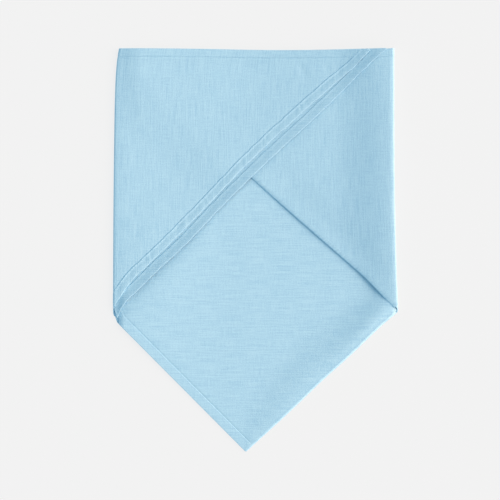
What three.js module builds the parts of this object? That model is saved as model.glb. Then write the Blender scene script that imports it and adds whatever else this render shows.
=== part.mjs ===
// A triangular cotton neckerchief, folded flat, in millimetres with +Z up.
//
// The cloth is a right-angled isosceles triangle with hemmed edges. It is folded in half along its
// altitude, then its right wing is folded in over the front, and its left wing on top of that.
// The fold along the altitude becomes the lower right edge, with the tip at the bottom.
//
// The doubled cloth is followed from the point of the left wing, round the left fold, across the base,
// round the right fold and out to the point of the right wing. A place on it is given by its travel along
// that line and its height y above the tip. The front half lies on the inner side of the line and the
// back half on its outer side.

import * as THREE from 'three';

// Driving dimensions
const shortEdge = 700;            // each of the two equal edges of the cut triangle
const clothWall = 1.0;            // thickness of the single cloth
const hemWall = 1.4;              // thickness of a turned and stitched hem
const shortHemWidth = 7;          // hem along the short edges
const longHemWidth = 8.2;         // hem along the long edge, measured square to it
const layerGap = 0.3;             // air between two layers that lie on each other
const seamGap = 0.3;              // clearance between the cloth and its hem

const leftFoldReach = 114.7;      // from the tip's upright to the outside of the left fold
const rightFoldReach = 128.2;     // from the tip's upright to the outside of the right fold
const leftFoldTaper = 3.2;        // how far the left fold leans in at the top
const rightFoldFlare = 3.7;       // how far the right fold leans out at its lower corner

const leftCornerHeight = 120;     // height of the left corner above the tip
const rightCornerHeight = 125;    // height of the right corner above the tip
const tipRounding = 1.8;          // how blunt the bottom tip is

const upperBandStart = 124;       // height where the left wing's upper edge leaves the left fold
const lowerBandStart = 115;       // height where the left wing's lower edge leaves the left fold
const upperWingLength = 226.5;    // length of the left wing's upper layer along the top
const lowerWingLength = 231.5;    // length of the left wing's lower layer along the top
const rightWingLength = 234;      // length of the right wing to its hidden point
const rightWingDrop = 18;         // how far the right wing's top edge falls towards that point

const leftFoldPuff = 1.6;         // how far the left fold stands open
const rightFoldPuff = 1.2;        // how far the right fold stands open
const rightPuffEnd = 20;          // distance below the top where the right fold is closed again
const altitudeFoldPuff = 1.4;     // how far the fold along the altitude is rounded up
const puffReach = 26;             // distance over which an open fold settles
const sagStart = 12;              // distance past the covered edge where the left wing begins to settle
const sagReach = 30;              // distance over which it settles onto the base
const flapInView = 0.48;          // share of the right wing's length that the left wing leaves in view

const bluntTip = 3;               // height at which the wing points are cut off
const tipSlit = 0.4;              // width of the step where the cloth passes the end of the long hem

// Band edges of the left wing: how far each bows up from a straight line, at shares of the wing's length,
// as shares of the wing's height
const bandBow = [
  { along: 0.00, upper: 0.000, lower: 0.000 },
  { along: 0.04, upper: 0.020, lower: 0.020 },
  { along: 0.08, upper: 0.035, lower: 0.030 },
  { along: 0.20, upper: 0.036, lower: 0.020 },
  { along: 0.30, upper: 0.040, lower: 0.012 },
  { along: 0.45, upper: 0.042, lower: 0.010 },
  { along: 0.60, upper: 0.043, lower: 0.000 },
  { along: 0.75, upper: 0.036, lower: -0.008 },
  { along: 0.87, upper: 0.024, lower: -0.012 },
  { along: 0.95, upper: 0.008, lower: -0.004 },
  { along: 1.00, upper: 0.000, lower: 0.000 },
];

// Mesh steps
const wingSteps = 14;
const baseSteps = 7;
const foldSteps = 8;
const heightSteps = 9;
const edgeFoldSteps = 5;
const crowding = 1.7;             // how strongly the rows crowd towards the lower edge

// Derived heights of the stack
const topHeight = shortEdge / 2;
const halfDouble = hemWall + layerGap / 2;             // from the middle of the doubled cloth to its face
const doublePitch = 2 * halfDouble + layerGap;         // from one doubled layer to the next
const baseLevel = halfDouble;
const rightWingLevel = baseLevel + doublePitch;
const leftWingLevel = rightWingLevel + doublePitch;

const clamp01 = (t) => Math.min(1, Math.max(0, t));
const smooth = (t) => clamp01(t) ** 2 * (3 - 2 * clamp01(t));
const mix = (a, b, t) => a + (b - a) * t;

// Share of the way from the right corner's height (0) up to the top edge (1)
const riseShare = (y) => clamp01((y - rightCornerHeight) / (topHeight - rightCornerHeight));
const leftTaperAt = (y) => leftFoldTaper * riseShare(y) ** 3;
const rightFlareAt = (y) => rightFoldFlare * (1 - riseShare(y)) ** 3;

// The middle of each fold, as an x at the fold's straightest place
const leftFoldRadius = (leftWingLevel - baseLevel) / 2;
const rightFoldRadius = (rightWingLevel - baseLevel) / 2;
const leftFoldMiddle = -leftFoldReach + leftFoldRadius + halfDouble;
const rightFoldMiddle = rightFoldReach - rightFoldRadius - halfDouble;
const leftFoldArc = Math.PI * leftFoldRadius;
const rightFoldArc = Math.PI * rightFoldRadius;

// Slopes of the two lower edges of the outline
const leftSlope = leftCornerHeight / leftFoldReach;
const rightSlope = rightCornerHeight / (rightFoldReach + rightFoldFlare);
const flapRise = (topHeight - rightWingDrop - rightCornerHeight) / rightWingLength;

// Bow of a band edge at a share of the wing's length, read from the table
function bow(along, side) {
  const next = bandBow.findIndex((row) => row.along >= along);
  if (next <= 0) return bandBow[0][side];
  const before = bandBow[next - 1];
  const after = bandBow[next];
  return mix(before[side], after[side], (along - before.along) / (after.along - before.along));
}

// Lower edge of the left wing, at a distance out from the left fold
function bandEdge(out, half) {
  const [start, length, side] = half === 'back'
    ? [upperBandStart, upperWingLength, 'upper']
    : [lowerBandStart, lowerWingLength, 'lower'];
  const along = clamp01(out / length);
  return mix(start, topHeight, along) + (topHeight - start) * bow(along, side);
}

// Lower edge of the right wing, which is the fold along the altitude
const flapEdge = (out) => rightCornerHeight + flapRise * out;

// Lower edge of the base, rounded at the tip
const baseEdge = (x) => Math.hypot(x * (x < 0 ? leftSlope : rightSlope), tipRounding);

// Travel is 0 at the tip's upright, negative to the left and positive to the right. It has five stretches:
// left wing, left fold, base, right fold and right wing.
const stretches = {
  leftWingEnd: leftFoldMiddle - leftFoldArc,
  leftFoldEnd: leftFoldMiddle,
  rightFoldStart: rightFoldMiddle,
  rightWingStart: rightFoldMiddle + rightFoldArc,
};
const leftWingTravel = (length) => stretches.leftWingEnd - (length - (leftFoldReach + leftFoldMiddle));
const rightWingTravel = stretches.rightWingStart + rightWingLength - (rightFoldReach - rightFoldMiddle);

// Distance of a place on a wing from the outside of its fold
const outFromLeftFold = (travel) => stretches.leftWingEnd - travel + (leftFoldReach + leftFoldMiddle);
const outFromRightFold = (travel) => travel - stretches.rightWingStart + (rightFoldReach - rightFoldMiddle);

// Height of the lower and of the upper edge of the doubled cloth at a travel
function lowerEdge(travel, half) {
  const { leftWingEnd, leftFoldEnd, rightFoldStart, rightWingStart } = stretches;
  if (travel <= leftWingEnd) return bandEdge(outFromLeftFold(travel), half);
  if (travel < leftFoldEnd) {
    const t = (travel - leftWingEnd) / leftFoldArc;
    return mix(bandEdge(outFromLeftFold(leftWingEnd), half), baseEdge(leftFoldEnd), t);
  }
  if (travel <= rightFoldStart) return baseEdge(travel);
  if (travel < rightWingStart) {
    const t = (travel - rightFoldStart) / rightFoldArc;
    return mix(baseEdge(rightFoldStart), flapEdge(outFromRightFold(rightWingStart)), t);
  }
  return flapEdge(outFromRightFold(travel));
}
function upperEdge(travel) {
  const out = Math.max(0, outFromRightFold(travel));
  return topHeight - (travel > stretches.rightWingStart ? rightWingDrop * out / rightWingLength : 0);
}

// How far the right fold stands open at a height: it closes towards the top, under the left wing's point
const openRight = (y) => rightFoldPuff * smooth((topHeight - rightPuffEnd - y) / puffReach);

// Share of a fold's opening that is left at a distance from it
const settle = (run) => (run < puffReach ? (1 + Math.cos(Math.PI * run / puffReach)) / 2 : 0);

// Settling of the left wing onto the base, below the edge of the right wing that it covers
function sag(x, y, run) {
  const coveredEdge = flapEdge(rightFoldReach + rightFoldFlare - x);
  const below = (coveredEdge - y) / Math.hypot(1, flapRise) - sagStart;
  return doublePitch * smooth(below / sagReach) * smooth(run / puffReach);
}

// Middle of the doubled cloth and its inward normal, at a travel and a height
function middle(travel, y) {
  const { leftFoldEnd, rightFoldStart } = stretches;
  const leftShift = leftTaperAt(y) + leftFoldPuff / 2;
  const rightShift = rightFlareAt(y) - openRight(y) / 2;
  if (travel >= leftFoldEnd && travel <= rightFoldStart) {
    const shift = travel < 0 ? leftShift * travel / leftFoldEnd : rightShift * travel / rightFoldStart;
    return { x: travel + shift, z: baseLevel, nx: 0, nz: 1 };
  }
  const fold = travel < leftFoldEnd
    ? { outward: -1, x: leftFoldMiddle + leftShift, radius: leftFoldRadius, arc: leftFoldArc,
      level: leftWingLevel, open: leftFoldPuff, passed: leftFoldEnd - travel }
    : { outward: 1, x: rightFoldMiddle + rightShift, radius: rightFoldRadius, arc: rightFoldArc,
      level: rightWingLevel, open: openRight(y), passed: travel - rightFoldStart };
  if (fold.passed < fold.arc) {
    const turn = Math.PI * fold.passed / fold.arc;
    const radius = fold.radius + fold.open / 2;
    return {
      x: fold.x + fold.outward * radius * Math.sin(turn),
      z: baseLevel + radius * (1 - Math.cos(turn)),
      nx: -fold.outward * Math.sin(turn),
      nz: Math.cos(turn),
    };
  }
  const run = fold.passed - fold.arc;
  const x = fold.x - fold.outward * run;
  const sunk = fold.outward < 0 ? sag(x, y, run) : 0;
  return { x, z: fold.level - sunk + fold.open * settle(run), nx: 0, nz: -1 };
}

// Rounding up of the upper half beside the fold along the altitude: the front half on the base, and the
// back half on the right wing as far as the left wing leaves it in view
function edgePuff(travel, y, half) {
  const edge = lowerEdge(travel, half);
  const square = (y - edge) * Math.cos(Math.atan(rightSlope));
  const fade = Math.exp(-((square / (puffReach / 2)) ** 2));
  const { rightFoldStart, rightWingStart } = stretches;
  const along = half === 'front'
    ? travel / (rightFoldStart - puffReach)
    : (travel - rightWingStart) / (rightWingLength * flapInView);
  if (along <= 0 || along >= 1) return 0;
  return altitudeFoldPuff * Math.sin(Math.PI * along) * fade;
}

// A point of the front or back half. Depth is 0 on the outer face of the doubled cloth and grows inwards.
function facePoint(travel, y, half, depth) {
  const m = middle(travel, y);
  const side = half === 'front' ? 1 : -1;
  const offset = side * (halfDouble - depth + edgePuff(travel, y, half));
  return new THREE.Vector3(m.x + m.nx * offset, y, m.z + m.nz * offset);
}

// A point of the cloth where it turns round the fold along the altitude, from front (turn 0) to back (pi)
function edgeFoldPoint(travel, turn, depth) {
  const half = turn < Math.PI / 2 ? 'front' : 'back';
  const edge = lowerEdge(travel, half);
  const m = middle(travel, edge);
  const across = (halfDouble - depth + edgePuff(travel, edge, half)) * Math.cos(turn);
  const down = (halfDouble - depth) * Math.sin(turn) / Math.cos(Math.atan(rightSlope));
  return new THREE.Vector3(m.x + m.nx * across, edge - down, m.z + m.nz * across);
}

// A closed wall from two grids of points, outer and inner, over the cells that are in use. Each cell gives
// an outer and an inner face, and each border of the used cells gets a side face.
function wallGeometry(outer, inner, used) {
  const columns = outer.length;
  const rows = outer[0].length;
  const positions = [];
  for (const grid of [outer, inner]) {
    for (const column of grid) {
      for (const point of column) positions.push(point.x, point.y, point.z);
    }
  }
  const innerStart = columns * rows;
  const at = (i, j) => i * rows + j;
  const inUse = (i, j) => i >= 0 && j >= 0 && i < columns - 1 && j < rows - 1 && used(i, j);
  const index = [];
  const side = (a, b) => index.push(b, a, a + innerStart, b, a + innerStart, b + innerStart);
  for (let i = 0; i < columns - 1; i += 1) {
    for (let j = 0; j < rows - 1; j += 1) {
      if (!inUse(i, j)) continue;
      const [a, b, c, d] = [at(i, j), at(i + 1, j), at(i + 1, j + 1), at(i, j + 1)];
      index.push(a, c, b, a, d, c);
      for (const [p, q, r] of [[a, b, c], [a, c, d]]) index.push(p + innerStart, q + innerStart, r + innerStart);
      if (!inUse(i, j - 1)) side(b, a);
      if (!inUse(i + 1, j)) side(c, b);
      if (!inUse(i, j + 1)) side(d, c);
      if (!inUse(i - 1, j)) side(a, d);
    }
  }
  const geometry = new THREE.BufferGeometry();
  geometry.setAttribute('position', new THREE.Float32BufferAttribute(positions, 3));
  geometry.setIndex(index);
  return geometry;
}

// Travel values of one half from point to point, close together round the folds. The two halves have as
// many each, and differ only along the left wing, where each follows its own length.
function stations(half) {
  const { leftWingEnd, leftFoldEnd, rightFoldStart, rightWingStart } = stretches;
  const spans = [
    [leftWingTravel(half === 'front' ? lowerWingLength : upperWingLength), leftWingEnd, wingSteps],
    [leftWingEnd, leftFoldEnd, foldSteps],
    [leftFoldEnd, -tipSlit, baseSteps],
    [-tipSlit, 0, 1],
    [0, rightFoldStart, baseSteps],
    [rightFoldStart, rightWingStart, foldSteps],
    [rightWingStart, rightWingTravel, wingSteps],
  ];
  return spans.flatMap(([from, to, count]) => [...Array(count).keys()].map((k) => mix(from, to, k / count)));
}

// The stations of both halves that lie well inside each half's own ends, with those ends added
function stationsBetween(starts, end) {
  const all = { front: stations('front'), back: stations('back') };
  const inside = (i) => Object.keys(starts).every(
    (half) => all[half][i] > starts[half] + bluntTip / 2 && all[half][i] < end - bluntTip / 2);
  const kept = [...all.front.keys()].filter(inside);
  return Object.fromEntries(Object.entries(starts).map(
    ([half, start]) => [half, [start, ...kept.map((i) => all[half][i]), end]]));
}

// Where a strip between two edges runs out: the travel at which its height falls to the blunt tip's
function runOut(from, to, heightAt) {
  let [inside, outside] = [from, to];
  for (let k = 0; k < 40; k += 1) {
    const half = (inside + outside) / 2;
    if (heightAt(half) > bluntTip) inside = half;
    else outside = half;
  }
  return inside;
}

const longHemRise = longHemWidth * Math.hypot(1, leftSlope);
const seamRise = seamGap * Math.hypot(1, leftSlope);

// Where each half of the cloth begins and ends between its hems
const clothTop = (travel) => upperEdge(travel) - shortHemWidth - seamGap;
const clothBottom = (travel, half) => (travel < 0
  ? lowerEdge(travel, half) + longHemRise + seamRise
  : lowerEdge(travel, half));

// The folded cloth in one wall: rows run down the front half, round the fold and up the back half
function clothGeometry() {
  const leftEnd = {
    front: runOut(stretches.leftWingEnd, leftWingTravel(lowerWingLength),
      (travel) => clothTop(travel) - clothBottom(travel, 'front')),
    back: runOut(stretches.leftWingEnd, leftWingTravel(upperWingLength),
      (travel) => clothTop(travel) - clothBottom(travel, 'back')),
  };
  const rightEnd = runOut(stretches.rightWingStart, rightWingTravel,
    (travel) => clothTop(travel) - clothBottom(travel, 'front'));
  const steps = stationsBetween(leftEnd, rightEnd);
  const column = (i, depth) => {
    const points = [];
    for (let j = heightSteps; j >= 0; j -= 1) {
      const travel = steps.front[i];
      const y = mix(clothBottom(travel, 'front'), clothTop(travel), (j / heightSteps) ** crowding);
      points.push(facePoint(travel, y, 'front', depth));
    }
    for (let j = 1; j < edgeFoldSteps; j += 1) {
      points.push(edgeFoldPoint(steps.front[i], Math.PI * j / edgeFoldSteps, depth));
    }
    for (let j = 0; j <= heightSteps; j += 1) {
      const travel = steps.back[i];
      const y = mix(clothBottom(travel, 'back'), clothTop(travel), (j / heightSteps) ** crowding);
      points.push(facePoint(travel, y, 'back', depth));
    }
    return points;
  };
  const outer = steps.front.map((_, i) => column(i, 0));
  const inner = steps.front.map((_, i) => column(i, clothWall));
  const tipColumn = steps.front.indexOf(0);
  const joined = (i, j) => i >= tipColumn || j < heightSteps || j >= heightSteps + edgeFoldSteps;
  return wallGeometry(outer, inner, joined);
}

// A hem of one half, between a lower and an upper edge, thicker than the cloth towards the inside
function hemGeometry(half, start, end, bottom, top) {
  const steps = stationsBetween({ [half]: start }, end)[half];
  const rows = 2;
  const order = half === 'front' ? [...Array(rows + 1).keys()].reverse() : [...Array(rows + 1).keys()];
  const column = (travel, depth) => order.map((j) => {
    const y = mix(bottom(travel), top(travel), j / rows);
    return facePoint(travel, y, half, depth);
  });
  const outer = steps.map((travel) => column(travel, 0));
  const inner = steps.map((travel) => column(travel, hemWall));
  return wallGeometry(outer, inner, () => true);
}

function shortHem(half) {
  const bottom = (travel) => Math.max(upperEdge(travel) - shortHemWidth, lowerEdge(travel, half));
  const height = (travel) => upperEdge(travel) - lowerEdge(travel, half);
  const wingLength = half === 'front' ? lowerWingLength : upperWingLength;
  const start = runOut(stretches.leftWingEnd, leftWingTravel(wingLength), height);
  const end = runOut(stretches.rightWingStart, rightWingTravel, height);
  return hemGeometry(half, start, end, bottom, upperEdge);
}

function longHem(half) {
  const bottom = (travel) => lowerEdge(travel, half);
  const top = (travel) => Math.min(bottom(travel) + longHemRise, clothTop(travel));
  const wingLength = half === 'front' ? lowerWingLength : upperWingLength;
  const start = runOut(stretches.leftWingEnd, leftWingTravel(wingLength), (travel) => top(travel) - bottom(travel));
  return hemGeometry(half, start, -tipSlit - seamGap, bottom, top);
}

const cotton = new THREE.MeshStandardMaterial({ color: 0xb1d7eb, roughness: 0.92, metalness: 0 });
const hemCotton = new THREE.MeshStandardMaterial({ color: 0xa9d0e6, roughness: 0.92, metalness: 0 });

const group = new THREE.Group();

// Each piece is set down with the middle of the folded bundle over the origin
function place(name, geometry, material) {
  const mesh = new THREE.Mesh(geometry, material);
  mesh.name = name;
  group.add(mesh);
  return mesh;
}

place('cloth', clothGeometry(), cotton);
place('long_hem_front', longHem('front'), hemCotton);
place('long_hem_back', longHem('back'), hemCotton);
place('short_hem_front', shortHem('front'), hemCotton);
place('short_hem_back', shortHem('back'), hemCotton);

const box = new THREE.Box3().setFromObject(group);
for (const mesh of group.children) {
  mesh.position.set(-(box.min.x + box.max.x) / 2, -(box.min.y + box.max.y) / 2, -box.min.z);
}

export default group;
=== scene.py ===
"""A triangular cotton neckerchief, folded flat as it lies in the photograph. Sizes are in metres."""

import bpy
import numpy as np
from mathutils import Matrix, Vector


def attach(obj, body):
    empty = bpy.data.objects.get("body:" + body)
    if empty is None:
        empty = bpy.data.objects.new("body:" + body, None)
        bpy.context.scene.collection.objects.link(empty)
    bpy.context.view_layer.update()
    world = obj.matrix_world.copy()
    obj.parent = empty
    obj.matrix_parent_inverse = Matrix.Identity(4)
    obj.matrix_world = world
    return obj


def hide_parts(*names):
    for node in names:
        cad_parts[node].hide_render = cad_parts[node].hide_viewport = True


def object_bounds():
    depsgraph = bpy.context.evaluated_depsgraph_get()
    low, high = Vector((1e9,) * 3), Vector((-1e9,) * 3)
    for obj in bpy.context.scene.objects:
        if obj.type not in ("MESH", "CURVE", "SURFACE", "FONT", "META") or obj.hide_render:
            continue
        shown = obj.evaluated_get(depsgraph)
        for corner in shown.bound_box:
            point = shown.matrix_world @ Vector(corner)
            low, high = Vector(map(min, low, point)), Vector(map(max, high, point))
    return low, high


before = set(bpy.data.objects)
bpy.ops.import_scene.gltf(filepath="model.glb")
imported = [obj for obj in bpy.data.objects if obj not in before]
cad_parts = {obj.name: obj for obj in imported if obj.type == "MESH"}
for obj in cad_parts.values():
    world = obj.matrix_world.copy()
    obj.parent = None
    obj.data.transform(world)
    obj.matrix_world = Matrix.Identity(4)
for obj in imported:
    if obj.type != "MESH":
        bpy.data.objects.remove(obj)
cad_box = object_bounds()


def add(name, data):
    """Put a new object into the scene."""
    item = bpy.data.objects.new(name, data)
    bpy.context.scene.collection.objects.link(item)
    return item


# Camera
# The photograph looks straight down on the cloth through a long lens, with the tip towards the viewer.
# Its frame is square, and the tip's upright lies a little left of the frame's middle.

MM = 0.001
PIXEL = 0.8653 * MM
FRAME_PIXELS = 500
TIP_X_PIXEL = 244.6
TOP_Y_PIXEL = 48.5
CAMERA_HEIGHT = 3.0
SENSOR = 36.0

FOLDED_HEIGHT = 350 * MM
LEFT_REACH = 114.7 * MM       # from the tip's upright to the left fold's outside

low, high = (np.array(corner) for corner in cad_box)
tip_x = low[0] + LEFT_REACH
tip_y = high[1] - FOLDED_HEIGHT

camera_data = bpy.data.cameras.new("camera")
camera_data.sensor_width = SENSOR
camera_data.lens = SENSOR * CAMERA_HEIGHT / (FRAME_PIXELS * PIXEL)
camera_data.clip_end = 20
camera = add("camera", camera_data)
camera.location = (
    tip_x + (FRAME_PIXELS / 2 - TIP_X_PIXEL) * PIXEL,
    high[1] - (FRAME_PIXELS / 2 - TOP_Y_PIXEL) * PIXEL,
    CAMERA_HEIGHT,
)
bpy.context.scene.camera = camera

# The folded cloth
# One right-angled triangle of light plain-woven cotton, 700 mm along each short edge. It is folded in half
# along its altitude, its right wing is folded in over the front, and its left wing on top of that.
# A place on the doubled cloth is its travel, sideways from the tip's upright, and its height above the tip.

CLOTH_WALL = 0.4 * MM
HALF_DOUBLE = 0.72 * MM       # from the middle of the doubled cloth to its outer face
LAYER_AIR = 0.12 * MM         # air between one doubled layer and the next
HEM_RAISE_OUT = 0.12 * MM     # how far a hem stands out from the outer face of the doubled cloth
HEM_RAISE_IN = 0.27 * MM      # how far it stands out on the inner face
LONG_HEM = 8.1 * MM
SHORT_HEM = 7.1 * MM

LEFT_TIP = 1.95 * MM          # height of each lower edge's line where it crosses the tip's upright
RIGHT_TIP = -0.1 * MM
LEFT_SLOPE = 1.007            # rise of the two lower edges per length sideways
RIGHT_SLOPE = 0.924
LEFT_FOLD_REACH = 113.75 * MM
RIGHT_REACH = 129.1 * MM      # from the tip's upright to the right fold's outside
LEFT_TAPER = 2.3 * MM         # lean of the left fold towards the top, and its last turn at the corner
LEFT_TURN = 3.0 * MM
LEFT_TURN_POWER = 16          # how late that last turn comes
LEFT_CORNER_RISE = 3.4 * MM   # rise of the long edge just before the left fold, and over what length
LEFT_CORNER_RUN = 2.2 * MM
RIGHT_FLARE = 3.7 * MM        # lean of the right fold towards its corner
FLARE_POWER = 3
LEAN_POWER = 8                # how closely the base's own lean keeps to the right fold
RIGHT_CORNER = 123 * MM       # height of the right corner
TOP_DIP = 1.75 * MM           # the top edge dips between its corners
TOP_DIP_AT = 37.5 * MM
TOP_DIP_WIDTH = 73 * MM
TOP_DIP_REACH = 25 * MM

# The lower right edge is not quite straight
RIGHT_BOW = np.array([
    # travel, rise above the straight line
    (0, 0.0),
    (41, -0.4),
    (52, -0.1),
    (63, 0.5),
    (74, 0.4),
    (85, 0.1),
    (96, 0.4),
    (106, 1.3),
    (116, 2.4),
    (125, 2.9),
]) * MM

UPPER_BAND_START = 124 * MM   # where the left wing's two edges leave the left fold
LOWER_BAND_START = 115 * MM
UPPER_WING = 219.2 * MM       # lengths of the wings along the top
LOWER_WING = 232.7 * MM
RIGHT_WING = 234 * MM
RIGHT_WING_DROP = 18 * MM

# Rise of the left wing's two edges above a straight line, as shares of the wing's height
BAND_BOW = np.array([
    # along, upper edge, lower edge
    (0.00, 0.000, -0.008),
    (0.0135, 0.006, -0.001),
    (0.0275, 0.012, 0.005),
    (0.04, 0.018, 0.0115),
    (0.08, 0.031, 0.0155),
    (0.12, 0.031, 0.0125),
    (0.18, 0.025, 0.012),
    (0.25, 0.023, 0.005),
    (0.32, 0.022, 0.006),
    (0.40, 0.023, 0.011),
    (0.48, 0.026, 0.010),
    (0.55, 0.026, 0.009),
    (0.62, 0.022, 0.005),
    (0.70, 0.014, -0.002),
    (0.80, 0.003, -0.007),
    (0.88, -0.008, -0.006),
    (0.95, -0.013, 0.000),
    (1.00, 0.000, 0.000),
])
BAND_WOBBLE = 0.3 * MM        # uneven pull of the stitching on the bias edges
WOBBLE_PERIOD = 15 * MM
WOBBLE_START = 20 * MM        # from the fold, over which the wobble begins

FLAP_BOW = 4.3 * MM           # bow of the right wing's edge, reached soon after the corner
FLAP_BOW_REACH = 30 * MM
FLAP_SEEN = 128 * MM          # length of the right wing's edge that shows

LEFT_COS = 1 / np.hypot(1, LEFT_SLOPE)
LEFT_SIN = LEFT_SLOPE * LEFT_COS
RIGHT_COS = 1 / np.hypot(1, RIGHT_SLOPE)
RIGHT_SIN = RIGHT_SLOPE * RIGHT_COS

# Levels of the middle of each doubled layer, and how the wings come down from their open folds
BASE_LEVEL = HALF_DOUBLE
RIGHT_SPACE = 2 * HALF_DOUBLE + LAYER_AIR
LEFT_SPACE = RIGHT_SPACE + 2 * HEM_RAISE_OUT

LEFT_PUFF = 0.4 * MM
LEFT_PUFF_REACH = 60 * MM
LEFT_SHOULDER = 0.35 * MM     # the pressed edge lies lower than the wing beside it
LEFT_SHOULDER_REACH = 9 * MM
RIGHT_PUFF = 5.8 * MM
RIGHT_PUFF_REACH = 54 * MM
PUFF_START = 3.5 * MM         # how far into its settling the puff is at the fold
CORNER_PUFF = 3.9 * MM        # the same at the right corner
CORNER_PUFF_REACH = 45 * MM
CORNER_SPAN = 100 * MM
RIGHT_TAIL = 4.4 * MM         # a slower part of the right wing's settling
RIGHT_TAIL_REACH = 140 * MM
RIGHT_OPEN_END = 32 * MM      # past the top, where the right fold would close, and over what length
RIGHT_OPEN_GROWTH = 32 * MM
EDGE_HELD = 0.42              # share of that height left at the right wing's edge, and where it is all there
EDGE_HELD_REACH = 32 * MM
LEFT_ROUND = 0.7 * MM         # sideways half width of the folds
RIGHT_ROUND = 0.9 * MM
FOLD_FLATNESS = 0.5           # 1 is an ellipse, and less is squarer
LEFT_ARC = np.pi * 1.8 * MM   # cloth taken up by each fold
RIGHT_ARC = np.pi * 3.4 * MM

LEFT_FOLD_END = -LEFT_FOLD_REACH + LEFT_ROUND + HALF_DOUBLE
LEFT_WING_END = LEFT_FOLD_END - LEFT_ARC
RIGHT_FOLD_START = RIGHT_REACH - RIGHT_ROUND - HALF_DOUBLE
RIGHT_WING_START = RIGHT_FOLD_START + RIGHT_ARC

TOP_LIFT_START = 16 * MM      # below the top edge, where the stacked hems begin to lift the wings
TOP_LIFT_REACH = 9 * MM
TOP_LIFT = 0.3 * MM
SAG_REACH = 48 * MM           # past the covered edge, the length over which the left wing settles
COVERED_END = 110 * MM        # the covered wing's point, and how softly the left wing closes over it
COVERED_END_REACH = 20 * MM


def smooth(t):
    """0 below 0, 1 above 1, and an even S between them."""
    t = np.clip(t, 0, 1)
    return t * t * (3 - 2 * t)


def settle(run, reach):
    """Half a cosine wave, from 1 at no run to 0 at the reach."""
    return (1 + np.cos(np.pi * np.clip(run / reach, 0, 1))) / 2


def blend(first, last, share):
    """From the first value to the last as the share grows from 0 to 1."""
    return first + (last - first) * share


def through(table, column, place):
    """A smooth curve through a table: cubic pieces whose slope at each row is that of its neighbours."""
    along = table[:, 0]
    value = table[:, column]
    slope = np.gradient(value, along)
    place = np.clip(place, along[0], along[-1])
    row = np.clip(np.searchsorted(along, place, side="right") - 1, 0, len(along) - 2)
    span = along[row + 1] - along[row]
    t = (place - along[row]) / span
    return (
        value[row] * (1 + 2 * t) * (1 - t) ** 2
        + value[row + 1] * (3 - 2 * t) * t**2
        + span * (slope[row] * t * (1 - t) ** 2 - slope[row + 1] * t**2 * (1 - t))
    )


def uneven(place, seed, period):
    """A gentle irregular wave of size about 1: three sines of unlike periods."""
    return (
        np.sin(place / period * 2 * np.pi + seed)
        + np.sin(place / period * 1.61 * 2 * np.pi + 2.1 * seed)
        + np.sin(place / period * 0.61 * 2 * np.pi + 0.7 * seed)
    ) / 2


def band_edge(out, half):
    """Lower edge of the left wing: a straight line plus the bow in the table and a slight wobble."""
    back = half == "back"
    start = UPPER_BAND_START if back else LOWER_BAND_START
    length = UPPER_WING if back else LOWER_WING
    along = np.clip(out / length, 0, 1)
    wobble = BAND_WOBBLE * uneven(out, 5 if back else 8, WOBBLE_PERIOD) * smooth(out / WOBBLE_START)
    bow = through(BAND_BOW, 1 if back else 2, along)
    return start + (FOLDED_HEIGHT - start) * (along + bow) + wobble


def flap_edge(out):
    """Lower edge of the right wing: a straight line, lower near the corner."""
    slope = (FOLDED_HEIGHT - RIGHT_WING_DROP - RIGHT_CORNER) / RIGHT_WING
    return RIGHT_CORNER + slope * out + FLAP_BOW * smooth(out / FLAP_BOW_REACH)


def long_edge(travel, half):
    """Height of the hemmed long edge: straight on the base but for a short rise at the left corner, then
    through the left fold to the band's edge."""
    out = np.maximum(LEFT_WING_END - travel, 0) + LEFT_REACH + LEFT_FOLD_END
    into = smooth((LEFT_FOLD_END - travel) / LEFT_ARC)
    base = LEFT_TIP - LEFT_SLOPE * np.maximum(travel, LEFT_FOLD_END)
    base = base + LEFT_CORNER_RISE * settle(travel - LEFT_FOLD_END, LEFT_CORNER_RUN)
    return blend(base, band_edge(out, half), into)


def fold_edge(travel):
    """Height of the fold along the altitude: nearly straight on the base, then through the right fold to the
    right wing's edge."""
    out = np.maximum(travel - RIGHT_WING_START, 0) + RIGHT_REACH - RIGHT_FOLD_START
    into = smooth((travel - RIGHT_FOLD_START) / RIGHT_ARC)
    base_travel = np.minimum(travel, RIGHT_FOLD_START)
    base = RIGHT_TIP + RIGHT_SLOPE * base_travel + through(RIGHT_BOW, 1, base_travel)
    return blend(base, flap_edge(out), into)


def upper_edge(travel):
    """Height of the top edge, which falls slightly along the hidden part of the right wing."""
    return FOLDED_HEIGHT - RIGHT_WING_DROP * np.maximum(travel - RIGHT_WING_START, 0) / RIGHT_WING


def rise_share(y):
    """Share of the way up from the right corner to the top."""
    return np.clip((y - RIGHT_CORNER) / (FOLDED_HEIGHT - RIGHT_CORNER), 0, 1)


def left_fold_x(y):
    """The left fold leans in towards the top, with a last turn at the corner."""
    return LEFT_FOLD_END + LEFT_TAPER * rise_share(y) ** 2 + LEFT_TURN * rise_share(y) ** LEFT_TURN_POWER


def right_fold_x(y):
    """The right fold leans out towards its corner."""
    return RIGHT_FOLD_START + RIGHT_FLARE * (1 - rise_share(y)) ** FLARE_POWER


def top_lift(y):
    """Extra height of a wing near the top edge, where hems lie on hems."""
    return TOP_LIFT * smooth((y - FOLDED_HEIGHT + TOP_LIFT_START) / TOP_LIFT_REACH)


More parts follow.
